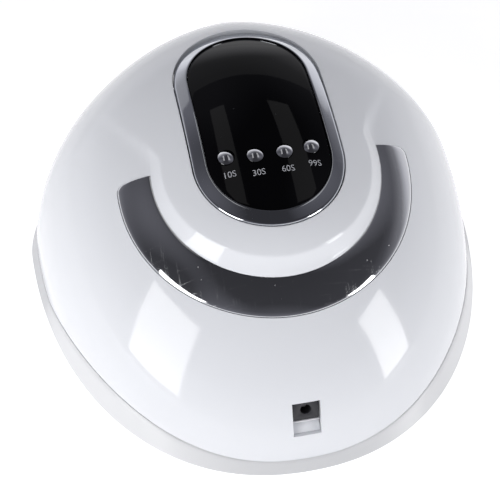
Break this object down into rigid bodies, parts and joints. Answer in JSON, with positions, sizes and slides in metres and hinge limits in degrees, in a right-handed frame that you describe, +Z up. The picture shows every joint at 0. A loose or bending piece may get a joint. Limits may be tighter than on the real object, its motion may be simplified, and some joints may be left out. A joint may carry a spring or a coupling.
{
  "type": "uv curing lamp",
  "caption": "Domed white nail curing lamp with a chrome arc, black control panel with press buttons, front hand opening and removable magnetic tray.",
  "frame": {"origin": "centre of the footprint's box, on the plane that the feet stand on", "axes": "+Z up, -Y towards the hand opening at the front, +Y towards the power inlet at the rear"},
  "size_m": [0.2224, 0.2264, 0.0948],
  "materials": {
    "white_gloss": "high gloss white moulded plastic",
    "liner_white": "glossy white reflector plastic",
    "tray_white": "slightly translucent satin white plastic",
    "chrome": "plated plastic, mirror finish",
    "black_gloss": "polished black acrylic",
    "dark_plastic": "dark moulded plastic",
    "board_green": "circuit board with solder mask",
    "bright_metal": "plain bright metal",
    "grey_rubber": "soft grey rubber",
    "wire_sleeve": "soft wire sleeve"
  },
  "bodies": {
    "tray": {"base_tray": "tray_white", "foot_front_left": "grey_rubber", "foot_front_right": "grey_rubber", "foot_rear_left": "grey_rubber", "foot_rear_right": "grey_rubber", "tray_magnet_front_left": "bright_metal", "tray_magnet_front_right": "bright_metal", "tray_magnet_rear_left": "bright_metal", "tray_magnet_rear_right": "bright_metal"},
    "lamp": {"bezel_ring": "chrome", "board_post_front_left": "bright_metal", "board_post_front_right": "bright_metal", "board_post_rear_left": "bright_metal", "board_post_rear_right": "bright_metal", "board_screw_front_left": "bright_metal", "board_screw_front_right": "bright_metal", "board_screw_rear_left": "bright_metal", "board_screw_rear_right": "bright_metal", "case_screw_front_left": "bright_metal", "case_screw_front_right": "bright_metal", "case_screw_rear_left": "bright_metal", "case_screw_rear_right": "bright_metal", "chrome_arc": "chrome", "control_board": "board_green", "dc_jack": "dark_plastic", "display_module": "dark_plastic", "driver_board": "board_green", "driver_capacitor": "bright_metal", "driver_inductor": "dark_plastic", "inlet_holder": "white_gloss", "inlet_plate": "dark_plastic", "jack_pin": "bright_metal", "lamp_magnet_front_left": "bright_metal", "lamp_magnet_front_right": "bright_metal", "lamp_magnet_rear_left": "bright_metal", "lamp_magnet_rear_right": "bright_metal", "lead_control": "wire_sleeve", "lead_power": "wire_sleeve", "led_board_left": "board_green", "led_board_rear": "board_green", "led_board_right": "board_green", "led_board_top": "board_green", "main_chip": "dark_plastic", "panel_lens": "black_gloss", "reflector_liner": "liner_white", "sensor_emitter": "dark_plastic", "sensor_receiver": "dark_plastic", "switch_10s": "dark_plastic", "switch_30s": "dark_plastic", "switch_60s": "dark_plastic", "switch_99s": "dark_plastic", "upper_shell": "white_gloss"},
    "key_10s": {"button_10s": "chrome"},
    "key_30s": {"button_30s": "chrome"},
    "key_60s": {"button_60s": "chrome"},
    "key_99s": {"button_99s": "chrome"}
  },
  "joints": [
    {"name": "lamp_lift", "type": "slide", "parent": "tray", "child": "lamp", "axis": [0, 0, 1], "range_m": [0, 0.06]},
    {"name": "press_10s", "type": "slide", "parent": "lamp", "child": "key_10s", "axis": [0, 0, -1], "range_m": [0, 0.0008], "stiffness_N_per_m": 300},
    {"name": "press_30s", "type": "slide", "parent": "lamp", "child": "key_30s", "axis": [0, 0, -1], "range_m": [0, 0.0008], "stiffness_N_per_m": 300},
    {"name": "press_60s", "type": "slide", "parent": "lamp", "child": "key_60s", "axis": [0, 0, -1], "range_m": [0, 0.0008], "stiffness_N_per_m": 300},
    {"name": "press_99s", "type": "slide", "parent": "lamp", "child": "key_99s", "axis": [0, 0, -1], "range_m": [0, 0.0008], "stiffness_N_per_m": 300}
  ]
}
